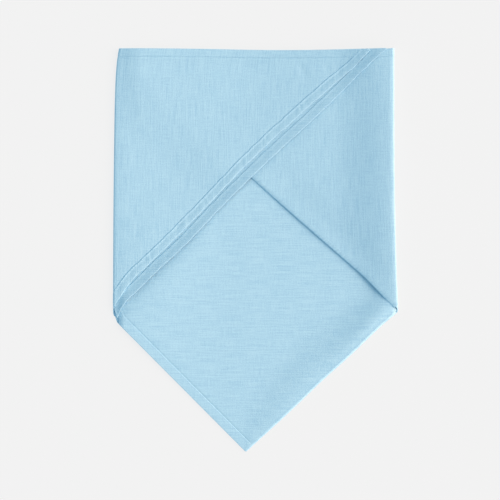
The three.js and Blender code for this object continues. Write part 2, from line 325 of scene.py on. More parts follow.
def right_height(x, y):
    """Height of the right wing: a puff and a slower tail that settle away from the fold, and the tail also
    towards the wing's edge. Both are less at the top and towards the right corner."""
    run = np.maximum(right_fold_x(y) - x, 0)
    opened = smooth((FOLDED_HEIGHT + RIGHT_OPEN_END - y) / RIGHT_OPEN_GROWTH)
    full = smooth((y - RIGHT_CORNER) / CORNER_SPAN)
    puff = blend(CORNER_PUFF, RIGHT_PUFF, full)
    reach = blend(CORNER_PUFF_REACH, RIGHT_PUFF_REACH, full)
    from_edge = np.maximum(y - flap_edge(RIGHT_REACH + RIGHT_FLARE - x), 0) * RIGHT_COS
    held = 1 - (1 - EDGE_HELD) * settle(from_edge, EDGE_HELD_REACH)
    tail = RIGHT_TAIL * full * held * settle(run, RIGHT_TAIL_REACH)
    extra = puff * settle(run + PUFF_START, reach) + tail
    return BASE_LEVEL + RIGHT_SPACE + top_lift(y) + opened * extra


def left_height(x, y):
    """Height of the left wing: it rides on the right wing, and past the covered edge settles to the base."""
    past_edge = (flap_edge(RIGHT_REACH + RIGHT_FLARE - x) - y) * RIGHT_COS
    cover = (1 - smooth(past_edge / SAG_REACH)) * smooth((x + COVERED_END) / COVERED_END_REACH)
    run = np.maximum(x - left_fold_x(y), 0)
    below = blend(BASE_LEVEL, right_height(x, y), cover)
    edge = LEFT_PUFF * settle(run, LEFT_PUFF_REACH) - LEFT_SHOULDER * settle(run, LEFT_SHOULDER_REACH)
    return below + LEFT_SPACE + top_lift(y) + edge


def middle(travel, y):
    """Middle of the doubled cloth: its place, and the direction of its front side. It is level on the base,
    half a squarish ellipse round each fold, and at its wing's height beyond it."""
    travel, y = np.broadcast_arrays(travel, y)
    lean = (right_fold_x(y) - RIGHT_FOLD_START) * np.clip(travel / RIGHT_FOLD_START, 0, 1) ** LEAN_POWER
    x = np.where(travel < 0, travel * left_fold_x(y) / LEFT_FOLD_END, travel + lean)
    z = np.full(x.shape, BASE_LEVEL)
    nx = np.zeros(x.shape)
    nz = np.ones(x.shape)
    sides = (
        (LEFT_FOLD_END - travel, LEFT_ARC, -1, left_fold_x(y), LEFT_ROUND, left_height),
        (travel - RIGHT_FOLD_START, RIGHT_ARC, 1, right_fold_x(y), RIGHT_ROUND, right_height),
    )
    for passed, arc, outward, fold_x, round_x, wing_height in sides:
        turn = np.clip(np.pi * np.clip(passed / arc, 0, 1), 0, np.pi - 1e-6)
        run = np.maximum(passed - arc, 0)
        round_z = (wing_height(fold_x - outward * run, y) - BASE_LEVEL) / 2
        sine = np.maximum(np.sin(turn), 1e-4)
        along_x = round_x * FOLD_FLATNESS * sine ** (FOLD_FLATNESS - 1) * np.cos(turn)
        length = np.hypot(round_z * sine, along_x)
        here = passed > 0
        x = np.where(here, fold_x + outward * (round_x * np.sin(turn) ** FOLD_FLATNESS - run), x)
        z = np.where(here, BASE_LEVEL + round_z * (1 - np.cos(turn)), z)
        nx = np.where(here, -outward * round_z * sine / length, nx)
        nz = np.where(here, along_x / length, nz)
    near_top = smooth((y - FOLDED_HEIGHT + TOP_DIP_REACH) / TOP_DIP_REACH)
    dipped = y - TOP_DIP * near_top * np.exp(-(((x - TOP_DIP_AT) / TOP_DIP_WIDTH) ** 2))
    return x, dipped, z, nx, nz


# The soft roll along the lower right fold
ROLL = np.array([
    # travel, height, how far in it settles, how far the rounding reaches in from the outline
    (0, 0.0, 26, 2.0),
    (12, 0.8, 26, 2.0),
    (25, 1.5, 30, 2.0),
    (45, 2.1, 35, 2.0),
    (70, 2.6, 35, 2.0),
    (95, 4.2, 30, 2.0),
    (110, 5.1, 26, 2.0),
    (119, 5.0, 23, 2.0),
    (125, 4.5, 21, 2.0),
]) * MM
ROLL_EDGE = 0.24              # how much lower it starts at the fold, as a share, and over what width
ROLL_EDGE_REACH = 8 * MM
ROLL_AT_TIP = ROLL[0, 3]
FLAP_CREST = 0.15 * MM        # crest along the right wing's edge, and how far in it settles
FLAP_CREST_REACH = 12 * MM
FLAP_CREST_END = 12 * MM      # how far before the end of the part that shows it is gone
FLAP_CREST_POWER = 0.7
ROLL_LEFT = 0.6               # share of the right fold's arc over which the base's roll fades
FLAP_ROLL = 4.0 * MM
UNDER_ROLL = 1.2 * MM

BAND_LIFT = 0.6 * MM          # how far the left wing's upper half stands off the lower one near the corner
BAND_LIFT_LEAST = 0.5 * MM
BAND_LIFT_REACH = 90 * MM
BAND_LIFT_WIDTH = 50 * MM
EDGE_CURL = 2.4 * MM          # how far the lower half's edge curls up there
EDGE_CURL_LEAST = 0.5 * MM
EDGE_CURL_WIDTH = 12 * MM
EDGE_CURL_REACH = 200 * MM
EDGE_CURL_POWER = 1.5
BAND_PRESS = 0.55 * MM        # the cloth beneath is pressed down along the band's edge
BAND_PRESS_REACH = 1.1 * MM
BAND_PRESS_WIDTH = 45 * MM
BASE_SWELL = 1.6 * MM         # and over a wider strip of the base near the left corner
BASE_SWELL_REACH = 4.5 * MM
BASE_SWELL_WIDTH = 150 * MM
BASE_SWELL_START = 25 * MM    # from the outline, where that strip begins to fade, and over what length
BASE_SWELL_END = 80 * MM
LEFT_EASE = 8 * MM            # lengths over which these begin: beside the left fold, on the base before the
BASE_EASE = 40 * MM           # right fold, on the right wing after it, and in the upper half of the band
WING_EASE = 20 * MM
TURN_EASE = 10 * MM
BAND_EASE = 30 * MM


def roll_reach(travel, half):
    """How far the rounding of the fold along the altitude reaches in from the outline."""
    if half == "back":
        return blend(UNDER_ROLL, FLAP_ROLL, smooth((travel - RIGHT_FOLD_START) / RIGHT_ARC))
    return through(ROLL, 3, travel)


def fold_start(travel, half):
    """Height where the rounding of the fold along the altitude begins."""
    return fold_edge(travel) + roll_reach(travel, half) / RIGHT_COS


# Small creases of the left wing below its upper hem, beside the band
CREASES = np.array([
    # out, height, half length, depth
    (162, 331.0, 9.0, 0.5),
    (183, 333.0, 6.0, 0.4),
]) * MM
CREASE_WIDTH = 2.0 * MM
CREASE_SLANT = np.radians(-62)


def creases(out, y):
    """Depth of the small creases: a bell across each one times a bell along it, added up."""
    depth = 0 * out * y
    for crease_out, height, half_length, deep in CREASES:
        along = (out - crease_out) * np.cos(CREASE_SLANT) + (y - height) * np.sin(CREASE_SLANT)
        across = (y - height) * np.cos(CREASE_SLANT) - (out - crease_out) * np.sin(CREASE_SLANT)
        depth = depth + deep * np.exp(-((across / CREASE_WIDTH) ** 2) - (along / half_length) ** 2)
    return depth


def band_press(x, y):
    """How far a face beneath the band's edge stands higher away from it: it rises from nothing at the edge
    to the whole press with e to the minus distance, and settles again further out."""
    below_band = np.maximum(band_edge(x + LEFT_REACH, "front") - y, 0) * LEFT_COS
    press = BAND_PRESS * (1 - np.exp(-below_band / BAND_PRESS_REACH)) * settle(below_band, BAND_PRESS_WIDTH)
    swell = BASE_SWELL * (1 - np.exp(-below_band / BASE_SWELL_REACH)) * settle(below_band, BASE_SWELL_WIDTH)
    return press + swell * settle(x + LEFT_REACH - BASE_SWELL_START, BASE_SWELL_END)


def face_lift(travel, y, half):
    """How far one half of the doubled cloth stands off the middle besides its usual place: the roll beside
    the fold along the altitude, and on the left wing the open band, whose lower edge curls up."""
    from_fold = np.maximum(y - fold_start(travel, half), 0) * RIGHT_COS
    from_edge = np.maximum(y - long_edge(travel, half), 0) * LEFT_COS
    out = np.maximum(LEFT_WING_END - travel, 0)
    if half == "front":
        roll = settle(from_fold - ROLL_EDGE_REACH / 2, through(ROLL, 2, travel))
        crest = through(ROLL, 1, travel) * (roll - ROLL_EDGE * settle(from_fold, ROLL_EDGE_REACH))
        amount = blend(EDGE_CURL_LEAST, EDGE_CURL, settle(out, EDGE_CURL_REACH))
        curl = amount * np.maximum(1 - from_edge / EDGE_CURL_WIDTH, 0) ** EDGE_CURL_POWER
        press = band_press(travel, y) * smooth((travel - LEFT_FOLD_END) / LEFT_EASE)
        press = press * smooth((RIGHT_FOLD_START - travel) / BASE_EASE)
        curl = curl * smooth(out / LEFT_EASE)
        crest = crest * settle(travel - RIGHT_FOLD_START, ROLL_LEFT * RIGHT_ARC)
        return np.where(travel > LEFT_FOLD_END, crest + press, -curl)
    along = np.clip((travel - RIGHT_WING_START) / (FLAP_SEEN - FLAP_CREST_END), 0, 1)
    crest = FLAP_CREST * np.sin(np.pi * along) ** FLAP_CREST_POWER * settle(from_fold, FLAP_CREST_REACH)
    lift = blend(BAND_LIFT_LEAST, BAND_LIFT, settle(out, BAND_LIFT_REACH))
    wing_x = RIGHT_FOLD_START + RIGHT_WING_START - travel
    press = band_press(wing_x, y) * smooth((RIGHT_FOLD_START - wing_x) / WING_EASE)
    press = press * smooth((travel - RIGHT_WING_START) / TURN_EASE)
    band = lift * settle(from_edge, BAND_LIFT_WIDTH) * smooth(out / BAND_EASE)
    return np.where(travel > 0, crest + press, band - creases(out + LEFT_REACH + LEFT_FOLD_END, y))


MOUTH = 2.4 * MM              # gap between the halves where the left fold opens at its corner
MOUTH_TOP = 2 * MM            # how far above the band's upper edge it is shut, and over what height
MOUTH_HEIGHT = 10 * MM
MOUTH_ON_WING = 18 * MM       # how far from the fold the halves are together again
MOUTH_ON_BASE = 4.5 * MM


def mouth(travel, y):
    """How far the front half stays inside the back half at the left corner: all of the gap at the band's
    lower edge, nothing above its upper edge, and less with distance from the fold on both sides."""
    low = smooth((UPPER_BAND_START + MOUTH_TOP - y) / MOUTH_HEIGHT)
    on_wing = smooth(1 - (LEFT_WING_END - travel) / MOUTH_ON_WING)
    on_base = smooth(1 - (travel - LEFT_FOLD_END) / MOUTH_ON_BASE)
    return MOUTH * low * on_wing * on_base


def on_cloth(travel, y, half, depth):
    """A point of one half of the doubled cloth. Depth 0 is its outer face, and grows inwards."""
    x, dipped, z, nx, nz = middle(travel, y)
    if half == "front":
        x = x + mouth(travel, y)
    offset = (1 if half == "front" else -1) * (HALF_DOUBLE - depth + face_lift(travel, y, half))
    return np.stack([tip_x + x + nx * offset, tip_y + dipped, z + nz * offset], axis=-1)


LEAST_ROUNDING = 0.1 * MM     # the inner face of a fold is never sharper than this


def round_fold(travel, turn, depth, cut=0, slide=1):
    """A point where the cloth turns round the fold along the altitude: a quarter ellipse from the front half
    out to the outline, less the cut, and a quarter ellipse back to the back half. With slide 1 it ends at
    the same travel, and with slide 0 straight under its start."""
    travel, turn = np.broadcast_arrays(travel, turn)
    front = turn < np.pi / 2
    front_reach = roll_reach(travel, "front")
    back_reach = roll_reach(travel, "back")
    side_reach = np.where(front, front_reach, back_reach)
    passed = front_reach + slide * (back_reach - front_reach) * smooth(turn / np.pi)
    out = passed - side_reach + np.maximum(side_reach - cut - depth, LEAST_ROUNDING) * np.sin(turn)
    start = fold_edge(travel) + side_reach / RIGHT_COS
    lift = np.where(front, face_lift(travel, start, "front"), face_lift(travel, start, "back"))
    y = fold_edge(travel) + passed / RIGHT_COS - out * RIGHT_COS
    x, dipped, z, nx, nz = middle(travel + out * RIGHT_SIN, y)
    across = (HALF_DOUBLE - depth + lift) * np.cos(turn)
    return np.stack([tip_x + x + nx * across, tip_y + dipped, z + nz * across], axis=-1)


def thread_place(travel, y, half):
    """Place in the flat cloth, along one thread direction and the other. The two halves mirror each other
    in the altitude, so their threads change places."""
    travel, y = np.broadcast_arrays(travel, y)
    if half == "front":
        return np.stack([travel, y, 0 * y], axis=-1)
    return np.stack([(y - RIGHT_TIP) / RIGHT_SLOPE, travel * RIGHT_SLOPE + RIGHT_TIP, 0 * y], axis=-1)


def make_piece(name, points, quads, threads):
    """A smooth mesh from points, four-sided faces and the place of each point in the flat cloth."""
    mesh = bpy.data.meshes.new(name)
    mesh.vertices.add(len(points))
    mesh.vertices.foreach_set("co", points.astype(np.float32).ravel())
    mesh.loops.add(quads.size)
    mesh.loops.foreach_set("vertex_index", quads.astype(np.int32).ravel())
    mesh.polygons.add(len(quads))
    mesh.polygons.foreach_set("loop_start", np.arange(0, quads.size, 4, dtype=np.int32))
    mesh.polygons.foreach_set("use_smooth", np.ones(len(quads), dtype=bool))
    mesh.update()
    place = mesh.attributes.new("thread_place", "FLOAT_VECTOR", "POINT")
    place.data.foreach_set("vector", threads.astype(np.float32).ravel())
    mesh.validate()
    return add(name, mesh)


def wall(name, outer, inner, threads, used):
    """A closed wall between an outer and an inner grid of points over the cells in use, with side faces
    along every border of the used cells."""
    total = outer.shape[0] * outer.shape[1]
    at = np.arange(total).reshape(outer.shape[:2])
    below = at + total
    quads = [
        np.stack([at[:-1, :-1], at[:-1, 1:], at[1:, 1:], at[1:, :-1]], axis=-1)[used],
        np.stack([below[:-1, :-1], below[1:, :-1], below[1:, 1:], below[:-1, 1:]], axis=-1)[used],
    ]
    ringed = np.pad(used, 1)
    borders = (
        (ringed[:-2, 1:-1], at[:-1, 1:], at[:-1, :-1]),
        (ringed[2:, 1:-1], at[1:, :-1], at[1:, 1:]),
        (ringed[1:-1, :-2], at[:-1, :-1], at[1:, :-1]),
        (ringed[1:-1, 2:], at[1:, 1:], at[:-1, 1:]),
    )
    for neighbour, from_corner, to_corner in borders:
        edge = used & ~neighbour
        a = from_corner[edge]
        b = to_corner[edge]
        quads.append(np.stack([a, b, b + total, a + total], axis=-1))
    quads = np.concatenate(quads)
    points = np.concatenate([outer.reshape(-1, 3), inner.reshape(-1, 3)])
    places = np.concatenate([threads.reshape(-1, 3)] * 2)
    kept, numbers = np.unique(quads, return_inverse=True)
    return make_piece(name, points[kept], numbers.reshape(quads.shape), places[kept])


def steps(start, *spans):
    """Values from a start through spans, each given as its end and the spacing towards it."""
    values = [start]
    for end, spacing in spans:
        count = max(1, int(round(abs(end - values[-1]) / spacing)))
        values.extend(np.linspace(values[-1], end, count + 1)[1:])
    return np.array(values)


TUCK = 1.4 * MM               # how far the cloth runs into its hems
LONG_GROOVE = 0.12 * MM       # depth of the pressed line beside each hem, and its half width
BASE_GROOVE = 0.26 * MM
SHORT_GROOVE = 0.3 * MM
GROOVE_WIDTH = 0.6 * MM
SEAM_ROWS = np.array([0, 0.6, 1.1, 1.5, 1.9, 2.4, 3.2, 4.6]) * MM
INNER_ROWS = 74
EDGE_SPACING = 0.15           # rows beside the band's edge are this share as far apart as on average
EDGE_ROW_LEAST = 0.12         # and keep this share of the height away from the first and last rows
BEND_STEPS = 9
SEARCH_POINTS = 4000
LEAST_HEIGHT = -1.2 * MM      # the cloth between the hems ends where it runs in under them


def beside_hem(travel, across, half):
    """Height of the line that runs across from the long edge at a constant distance."""
    return long_edge(travel - across * LEFT_SIN, half) + across * LEFT_COS


def tip_travel(half):
    """Travel at which the long hem's tucked line meets the fold along the altitude."""
    rise = LEFT_TIP - RIGHT_TIP + (LONG_HEM - TUCK) / LEFT_COS - ROLL_AT_TIP / RIGHT_COS
    return rise / (LEFT_SLOPE + RIGHT_SLOPE)


def panel_bottom(travel, half):
    """Lowest row of the cloth: tucked into the long hem, or at the fold along the altitude."""
    by_hem = beside_hem(travel, LONG_HEM - TUCK, half)
    return np.where(travel < tip_travel(half), by_hem, fold_start(travel, half))


def panel_rows(travel, half):
    """Rows from the bottom to the top: close together beside the seams, and between them closest at the
    place of the left wing's lower edge, with spacing that grows evenly away from it."""
    bottom = panel_bottom(travel, half)
    height = upper_edge(travel) - SHORT_HEM + TUCK - bottom
    near = SEAM_ROWS * np.minimum(1, height / (3 * SEAM_ROWS[-1]))
    x = np.where(travel > RIGHT_WING_START, RIGHT_FOLD_START + RIGHT_WING_START - travel, travel)
    centre = (band_edge(x + LEFT_REACH, "front") - bottom) / height
    centre = np.clip(centre, EDGE_ROW_LEAST, 1 - EDGE_ROW_LEAST)
    share = np.linspace(0, 1, INNER_ROWS)[None, 1:-1]
    room = np.where(share < centre, centre, 1 - centre)
    away = np.abs(share - centre) / room
    between = centre + np.sign(share - centre) * room * (EDGE_SPACING * away + (1 - EDGE_SPACING) * away**2)
    between = near[:, -1:] + (height - 2 * near[:, -1:]) * between
    return bottom + np.concatenate([near, between, height - near[:, ::-1]], axis=1)


def panel_face(travel, y, half, depth):
    """The cloth between its hems, pressed down along the stitched lines."""
    to_top = upper_edge(travel) - SHORT_HEM - y
    to_long = (y - beside_hem(travel, LONG_HEM, half)) * LEFT_COS
    wing = smooth((LEFT_FOLD_END - travel) / LEFT_ARC)
    long_press = blend(BASE_GROOVE, LONG_GROOVE, wing) * np.exp(-((to_long / GROOVE_WIDTH) ** 2))
    short_press = SHORT_GROOVE * np.exp(-((to_top / GROOVE_WIDTH) ** 2))
    return on_cloth(travel, y, half, depth + long_press + short_press)


def wing_start(half):
    """Travel at the left wing's point, where the cloth between the hems is as low as it may be."""
    travel = LEFT_WING_END - np.linspace(0, LOWER_WING, SEARCH_POINTS)
    height = upper_edge(travel) - SHORT_HEM - beside_hem(travel, LONG_HEM, half)
    return travel[height > LEAST_HEIGHT][-1]


def wing_finish():
    """Travel at the right wing's point."""
    travel = RIGHT_WING_START + np.linspace(0, RIGHT_WING, SEARCH_POINTS)
    height = upper_edge(travel) - SHORT_HEM - fold_start(travel, "front")
    return travel[height > LEAST_HEIGHT][-1]


WING_SPACING = 2.7 * MM       # between columns of the left wing, of the side folds and of the base
FOLD_SPACING = 0.8 * MM
LEFT_BASE_SPACING = 3.4 * MM
RIGHT_BASE_SPACING = 3.2 * MM
BEFORE_TIP = -4 * MM          # where the columns stand closer beside the tip, and how close
AFTER_TIP = 12 * MM
BEFORE_TIP_SPACING = 0.9 * MM
AFTER_TIP_SPACING = 1.2 * MM
FLAP_SPACING = 3.0 * MM       # on the part of the right wing that shows, and on the covered rest
COVERED_SPACING = 9 * MM

tip_at = tip_travel("front")
after_wing = steps(
    LEFT_WING_END,
    (LEFT_FOLD_END, FOLD_SPACING),
    (BEFORE_TIP, LEFT_BASE_SPACING),
    (tip_at, BEFORE_TIP_SPACING),
    (AFTER_TIP, AFTER_TIP_SPACING),
    (RIGHT_FOLD_START, RIGHT_BASE_SPACING),
    (RIGHT_WING_START, FOLD_SPACING),
    (RIGHT_WING_START + FLAP_SEEN, FLAP_SPACING),
    (wing_finish(), COVERED_SPACING),
)
wing_shares = steps(0, (1, WING_SPACING / UPPER_WING))[:-1]
columns = {}
for half in ("front", "back"):
    wing_columns = wing_start(half) * (1 - wing_shares) + LEFT_WING_END * wing_shares
    columns[half] = np.concatenate([wing_columns, after_wing])[:, None]
tip_column = len(wing_shares) + int(np.argmin(np.abs(after_wing - tip_at)))
quarter = np.linspace(0, np.pi / 2, BEND_STEPS)
turns = np.concatenate([quarter[1:], np.pi / 2 + quarter[1:-1]])[None, :]

front_rows = panel_rows(columns["front"], "front")[:, ::-1]
back_rows = panel_rows(columns["back"], "back")


def panel_grid(depth):
    """Front half from top to bottom, round the fold along the altitude, and back half from bottom to top."""
    front = panel_face(columns["front"], front_rows, "front", depth)
    bend = round_fold(np.maximum(columns["front"], tip_at), turns, depth)
    back = panel_face(columns["back"], back_rows, "back", depth)
    return np.concatenate([front, bend, back], axis=1)


bend_rows = front_rows[:, -1:] - roll_reach(columns["front"], "front") * np.sin(turns)
panel_threads = np.concatenate([
    thread_place(columns["front"], front_rows, "front"),
    thread_place(columns["front"], bend_rows, "front"),
    thread_place(columns["back"], back_rows, "back"),
], axis=1)
outer_panel = panel_grid(0)
cells = np.ones((outer_panel.shape[0] - 1, outer_panel.shape[1] - 1), dtype=bool)
bend_from = front_rows.shape[1] - 1
cells[:tip_column, bend_from:bend_from + turns.size + 1] = False
panel = wall("neckerchief_cloth", outer_panel, panel_grid(CLOTH_WALL), panel_threads, cells)

COTTON_LIGHT = (0.490, 0.735, 0.868, 1)
COTTON_DEEP = (0.375, 0.620, 0.782, 1)
SLUB_LENGTH = 22 * MM
SLUB_WIDTH = 0.9 * MM
GRAIN = 1.1 * MM
WEAVE_PITCH = 0.55 * MM
WEAVE_DEPTH = 0.06 * MM
SLUB_TONE = 0.46              # how much of each shows in the colour, and where the two blues lie on it
CROSS_TONE = 0.28
GRAIN_TONE = 0.3
TONE_LOW = 0.40
TONE_HIGH = 0.60
SLUB_BUMP = 2.0               # and in the bump
GRAIN_BUMP = 1.5
WEAVE_BUMP = 0.5


def new_material(name, roughness, specular):
    """A material of the given gloss, with its nodes, its links and its shader."""
    material = bpy.data.materials.new(name)
    material.use_nodes = True
    shader = material.node_tree.nodes["Principled BSDF"]
    shader.inputs["Roughness"].default_value = roughness
    shader.inputs["Specular IOR Level"].default_value = specular
    return material, material.node_tree.nodes, material.node_tree.links.new, shader


def cotton_material():
    """Light blue plain weave: slubs along one thread direction, fainter ones across it, an even grain, and a
    fine over-and-under weave in the bump."""
    material, nodes, link, shader = new_material("light_blue_cotton", 0.92, 0.2)
    place = nodes.new("ShaderNodeAttribute")
    place.attribute_name = "thread_place"

    def noise(scale, detail):
        """Noise over the flat cloth."""
        mapping = nodes.new("ShaderNodeMapping")
        mapping.inputs["Scale"].default_value = scale
        texture = nodes.new("ShaderNodeTexNoise")
        texture.inputs["Scale"].default_value = 1
        texture.inputs["Detail"].default_value = detail
        link(place.outputs["Vector"], mapping.inputs["Vector"])
        link(mapping.outputs["Vector"], texture.inputs["Vector"])
        return texture.outputs["Fac"]

    def combine(kind, first, second):
        """Two values put through one sum."""
        node = nodes.new("ShaderNodeMath")
        node.operation = kind
        for socket, value in zip(node.inputs, (first, second)):
            if isinstance(value, (int, float)):
                socket.default_value = value
            else:
                link(value, socket)
        return node.outputs["Value"]

    slubs = noise((1 / SLUB_LENGTH, 1 / SLUB_WIDTH, 1), 2)
    cross_slubs = noise((1 / SLUB_WIDTH, 2 / SLUB_LENGTH, 1), 2)
    grain = noise((1 / GRAIN, 1 / GRAIN, 1), 1)
    tone = combine("MULTIPLY", slubs, SLUB_TONE)
    tone = combine("ADD", tone, combine("MULTIPLY", cross_slubs, CROSS_TONE))
    tone = combine("ADD", tone, combine("MULTIPLY", grain, GRAIN_TONE))
    ramp = nodes.new("ShaderNodeValToRGB")
    ramp.color_ramp.elements[0].position = TONE_LOW
    ramp.color_ramp.elements[0].color = COTTON_DEEP
    ramp.color_ramp.elements[1].position = TONE_HIGH
    ramp.color_ramp.elements[1].color = COTTON_LIGHT
    link(tone, ramp.inputs["Fac"])
    link(ramp.outputs["Color"], shader.inputs["Base Color"])

    split = nodes.new("ShaderNodeSeparateXYZ")
    link(place.outputs["Vector"], split.inputs["Vector"])
    along = combine("SINE", combine("MULTIPLY", split.outputs["X"], 2 * np.pi / WEAVE_PITCH), 0)
    across = combine("SINE", combine("MULTIPLY", split.outputs["Y"], 2 * np.pi / WEAVE_PITCH), 0)
    weave = combine("MULTIPLY", along, across)
    rough = combine("ADD", combine("MULTIPLY", slubs, SLUB_BUMP), combine("MULTIPLY", grain, GRAIN_BUMP))
    height = combine("ADD", combine("MULTIPLY", weave, WEAVE_BUMP), rough)
    bump = nodes.new("ShaderNodeBump")
    bump.inputs["Strength"].default_value = 0.8
    bump.inputs["Distance"].default_value = WEAVE_DEPTH
    link(height, bump.inputs["Height"])
    link(bump.outputs["Normal"], shader.inputs["Normal"])

    shader.inputs["Sheen Weight"].default_value = 0.08
    shader.inputs["Sheen Roughness"].default_value = 0.5
    return material


cotton = cotton_material()
panel.data.materials.append(cotton)
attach(panel, "root")
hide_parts("cloth")

# The long hem
# The long bias edge of the triangle, turned in 8 mm wide and stitched along the inside. It runs from one
# wing's point down to the tip, round the fold along the altitude, and up the other half to its wing's point.

EDGE_ROUNDING = 0.4 * MM      # rounding of a hem's free edge
SEAM_DROP = 0.5 * MM          # width over which the hem's face drops to the cloth beside it
SEAM_DEPTH = 0.15 * MM
PRESSED_SEAM = 1.0            # share of that depth missing where the hem is pressed flat
LONG_RELIEF = 0.5 * MM        # relief of the band's upper and lower hem, and of the hem on the base
LOWER_RELIEF = 0.35 * MM
BASE_RELIEF = 0.06 * MM
BASE_RAISE = 0.01 * MM        # how far the hem on the base stands out
ROPE = 0.10 * MM              # the twist that a bias hem takes when it is sewn
ROPE_PERIOD = 12 * MM
ROPE_SLANT = -0.8
ROPE_MEAN = 0.7               # its strength wanders about a mean, and its turns drift
ROPE_CHANGE = 0.4
ROPE_CHANGE_PERIOD = 61 * MM
ROPE_DRIFT = 3
DRIFT_PERIOD = 37 * MM
PUCKER = 0.07 * MM            # small gathers at each stitch, and how far they reach from the inner fold
PUCKER_WIDTH = 1.6 * MM
STITCH_PITCH = 2.6 * MM
STITCH_INSET = 1.0 * MM
TIP_CORNER = 1.2 * MM         # rounding of the hem's corner at the tip
SQUARE_REACH = 12 * MM        # from the tip, over which the hem's stations turn square to its edge
WORN_START = 2 * MM           # on the left wing, where the pressed hem turns into the worn one
WORN_REACH = 12 * MM
INNER_RELIEF_END = 0.7        # share of the width over which the inner face has relief
HEM_STEP = 0.9 * MM
HEM_END = -(ROLL_AT_TIP / RIGHT_COS - LEFT_TIP + RIGHT_TIP) / (LEFT_SLOPE + RIGHT_SLOPE)

# Relief across a hem, from its free edge to its inner fold. The worn side has a wide rim, a stitched hollow
# and the ridge of the turned-in fold, and the pressed side only a low swell.
HEM_RELIEF = np.array([
    # across, worn side, pressed side
    (0.00, 0.82, 0.0),
    (0.12, 0.85, 0.3),
    (0.26, 0.80, 0.5),
    (0.45, 0.52, 0.5),
    (0.60, 0.22, 0.4),
    (0.70, 0.05, 0.3),
    (0.78, 0.10, 0.2),
    (0.89, 0.48, 0.0),
    (0.94, 0.50, 0.0),
    (1.00, 0.35, 0.0),
])


def hem_top(across, width, raise_out, swell, pressed, ripple):
    """Depth of a hem's outer face: its raise, its relief and its ripple, and the drop beside the seam."""
    share = np.clip(across / width, 0, 1)
    relief = blend(through(HEM_RELIEF, 1, share), through(HEM_RELIEF, 2, share), pressed)
    drop = np.exp(-(((width - across) / SEAM_DROP) ** 2))
    top = -raise_out - swell * relief - ripple(across) * np.sqrt(np.maximum(np.sin(np.pi * share), 0))
    return top + (SEAM_DEPTH * (1 - PRESSED_SEAM * pressed) - top) * drop


def hem_ring(width, raise_out, swell_out, swell_in, pressed, ripple, face_points=17, end_points=6):
    """The ring of a hem: across the width on the outer face, half an ellipse round the free edge, and back
    on the inner face. It gives the distance from the free edge and the depth, for each station and point."""
    share = np.linspace(1, 0, face_points)[None, :]
    outer_across = EDGE_ROUNDING + (width - EDGE_ROUNDING) * share
    inner_across = outer_across[:, ::-1]
    top = hem_top(outer_across, width, raise_out, swell_out, pressed, ripple)
    inner_relief = through(HEM_RELIEF, 1, inner_across / width) * (inner_across < INNER_RELIEF_END * width)
    bottom = CLOTH_WALL + HEM_RAISE_IN + swell_in * inner_relief
    turn = np.linspace(0, np.pi, end_points + 2)[None, 1:-1]
    edge_top = top[:, -1:]
    edge_bottom = bottom[:, :1]
    end_depth = (edge_top + edge_bottom) / 2 - (edge_bottom - edge_top) / 2 * np.cos(turn)
    end_across = EDGE_ROUNDING * (1 - np.sin(turn)) + 0 * width
    across = np.concatenate([outer_across, end_across, inner_across], axis=1)
    return across, np.concatenate([top, end_depth, bottom], axis=1)


def hem_piece(name, points, threads):
    """A closed tube from rings of points, with both ends shut by folding each last ring flat on itself."""
    stations, ring = points.shape[:2]
    at = np.arange(stations * ring).reshape(stations, ring)
    after = np.roll(at, -1, axis=1)
    sides = np.stack([at[:-1], after[:-1], after[1:], at[1:]], axis=-1).reshape(-1, 4)
    lid = np.arange(ring // 2 - 1)
    first = np.stack([at[0][ring - 1 - lid], at[0][ring - 2 - lid], at[0][lid + 1], at[0][lid]], axis=-1)
    last = np.stack([at[-1][ring - 2 - lid], at[-1][ring - 1 - lid], at[-1][lid], at[-1][lid + 1]], axis=-1)
    quads = np.concatenate([sides, first, last])
    return make_piece(name, points.reshape(-1, 3), quads, threads.reshape(-1, 3))


def on_wings(travel):
    """1 on both wings and 0 on the base, changing through the folds."""
    return smooth((LEFT_FOLD_END - travel) / LEFT_ARC) + smooth((travel - RIGHT_FOLD_START) / RIGHT_ARC)


def outward_raise(travel, half):
    """How far a hem stands out: nothing under the base, where it is pressed flat, hardly on it, and fully on
    the wings."""
    base = 0 if half == "back" else BASE_RAISE
    return blend(base, HEM_RAISE_OUT, on_wings(travel))


def wing_point(half):
    """Travel of the left wing's point."""
    length = UPPER_WING if half == "back" else LOWER_WING
    return LEFT_WING_END - length + LEFT_REACH + LEFT_FOLD_END


